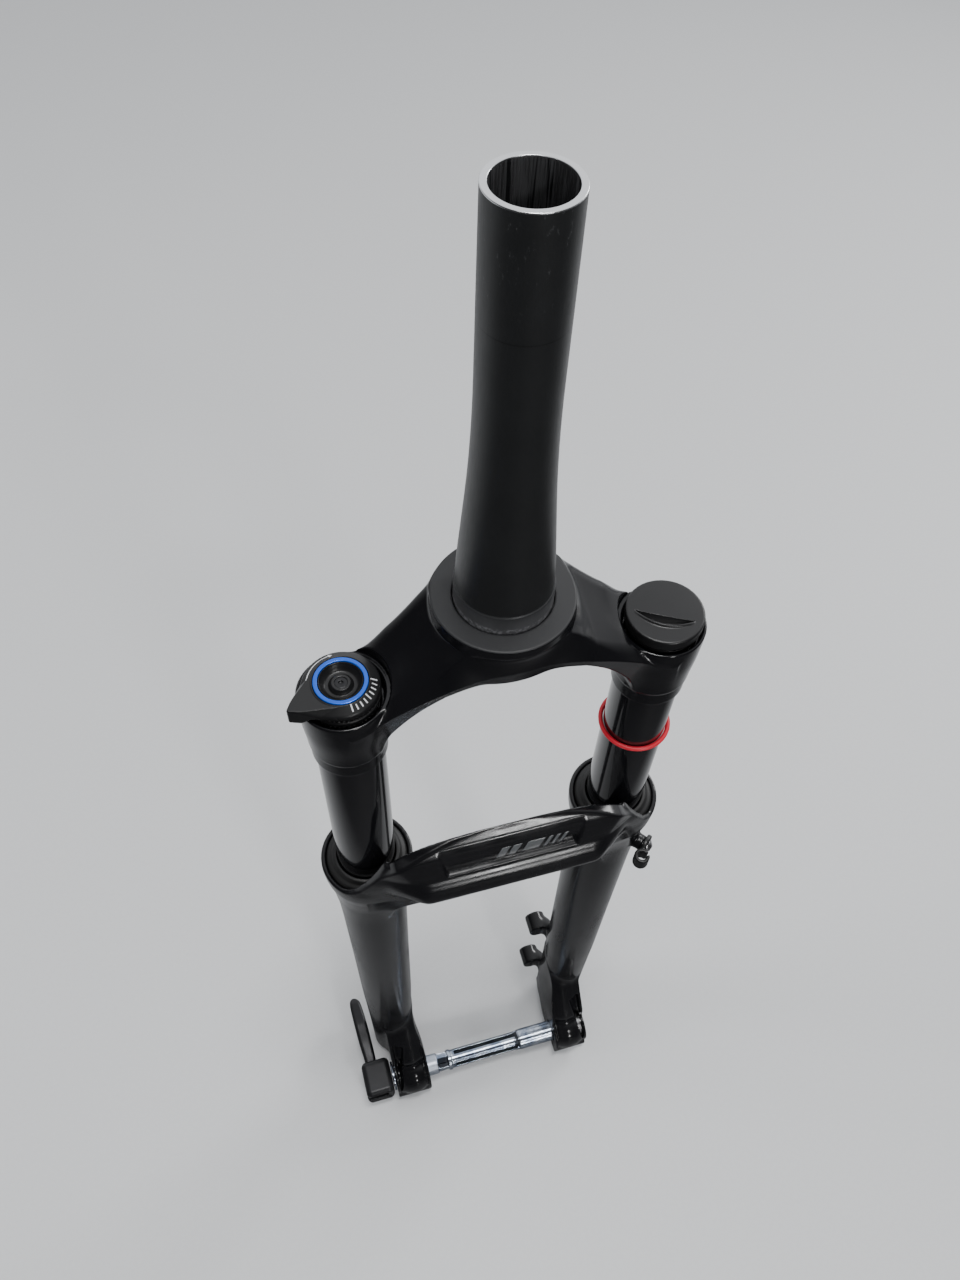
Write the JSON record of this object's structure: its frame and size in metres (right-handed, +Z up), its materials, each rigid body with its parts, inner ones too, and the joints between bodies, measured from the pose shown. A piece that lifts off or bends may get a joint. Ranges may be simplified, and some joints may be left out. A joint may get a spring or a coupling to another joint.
{
  "type": "suspension fork",
  "caption": "Air-sprung bicycle suspension fork: tapered steerer and forged crown on two sliding legs with a front arch, brake posts, through axle and a turning damper knob.",
  "frame": {"origin": "middle of the base of the fork's bounding box, 0.547 m below the crown race seat", "axes": "+Z up along the steerer, -Y forwards towards the arch and the axle, +X towards the rider's left, the air spring and brake side"},
  "size_m": [0.1914, 0.09, 0.719],
  "materials": {
    "gloss_black_paint": "gloss",
    "satin_black_steerer": "satin",
    "black_stanchion": "polished black coating",
    "black_anodised": "black anodised",
    "black_plastic": "matte",
    "blue_anodised": "blue anodised",
    "red_rubber": "satin",
    "black_rubber": "matte",
    "foam": "open foam",
    "bushing_bronze": "satin",
    "raw_aluminium": "machined",
    "steel": "polished",
    "brass": "machined",
    "nylon": "satin",
    "urethane": "satin",
    "red_anodised": "red anodised"
  },
  "bodies": {
    "chassis": {"steerer_tube": "satin_black_steerer", "crown": "gloss_black_paint", "air_stanchion": "black_stanchion", "damper_stanchion": "black_stanchion", "air_top_cap": "black_anodised", "volume_spacer": "nylon", "air_seal_head": "black_anodised", "air_retaining_ring": "steel", "damper_top_cap": "black_anodised", "compression_piston": "black_anodised", "damper_seal_head": "black_anodised", "damper_retaining_ring": "steel"},
    "compression_adjuster": {"compression_knob": "black_plastic", "knob_trim_ring": "blue_anodised", "knob_screw": "steel", "compression_spindle": "raw_aluminium"},
    "air_cap": {"air_cap": "black_plastic"},
    "valve_pin": {"valve_pin": "brass"},
    "travel_ring": {"travel_ring": "red_rubber"},
    "lower_legs": {"lower_leg_casting": "gloss_black_paint", "air_wiper_seal": "black_rubber", "damper_wiper_seal": "black_rubber", "air_foam_ring": "foam", "damper_foam_ring": "foam", "air_upper_bushing": "bushing_bronze", "air_lower_bushing": "bushing_bronze", "damper_upper_bushing": "bushing_bronze", "damper_lower_bushing": "bushing_bronze", "air_shaft": "raw_aluminium", "air_piston": "black_plastic", "air_piston_seal": "black_rubber", "top_out_bumper": "urethane", "bottom_out_bumper": "urethane", "rebound_shaft": "raw_aluminium", "rebound_piston": "raw_aluminium", "rebound_piston_ring": "nylon", "air_foot_bolt": "steel", "damper_foot_bolt": "steel", "air_crush_washer": "raw_aluminium", "damper_crush_washer": "raw_aluminium", "hose_guide": "black_plastic", "hose_guide_bolt": "steel", "axle_nut": "steel"},
    "rebound_adjuster": {"rebound_knob": "red_anodised", "rebound_adjuster_rod": "steel"},
    "thru_axle": {"thru_axle": "raw_aluminium", "axle_head": "black_anodised", "lever_pivot_pin": "steel"},
    "axle_lever": {"axle_lever": "black_anodised"}
  },
  "joints": [
    {"name": "travel", "type": "slide", "parent": "chassis", "child": "lower_legs", "axis": [0, 0, 1], "range_m": [0, 0.1], "stiffness_N_per_m": 4000, "springref_m": -0.02},
    {"name": "compression_turn", "type": "hinge", "parent": "chassis", "child": "compression_adjuster", "pos_m": [-0.06525, 0.006, 0.5255], "axis": [0, 0, -1], "range_deg": [0, 90]},
    {"name": "air_cap_turn", "type": "hinge", "parent": "chassis", "child": "air_cap", "pos_m": [0.07175, 0.006, 0.519], "axis": [0, 0, 1], "range_deg": [0, 1080]},
    {"name": "valve_press", "type": "slide", "parent": "chassis", "child": "valve_pin", "axis": [0, 0, -1], "range_m": [0, 0.0015], "stiffness_N_per_m": 800, "springref_m": -0.002},
    {"name": "travel_ring_slide", "type": "slide", "parent": "chassis", "child": "travel_ring", "axis": [0, 0, 1], "range_m": [0, 0.03]},
    {"name": "rebound_turn", "type": "hinge", "parent": "lower_legs", "child": "rebound_adjuster", "pos_m": [-0.06525, 0.006, 0.009], "axis": [0, 0, -1], "range_deg": [-360, 360]},
    {"name": "axle_turn", "type": "hinge", "parent": "lower_legs", "child": "thru_axle", "pos_m": [0.00325, -0.03, 0.024], "axis": [1, 0, 0], "continuous": true},
    {"name": "lever_swing", "type": "hinge", "parent": "thru_axle", "child": "axle_lever", "pos_m": [-0.08675, -0.03, 0.024], "axis": [0, 0, 1], "range_deg": [0, 120]}
  ],
  "couplings": [
    {"joint": "travel_ring_slide", "follows": "travel", "ratio": 0.3}
  ]
}
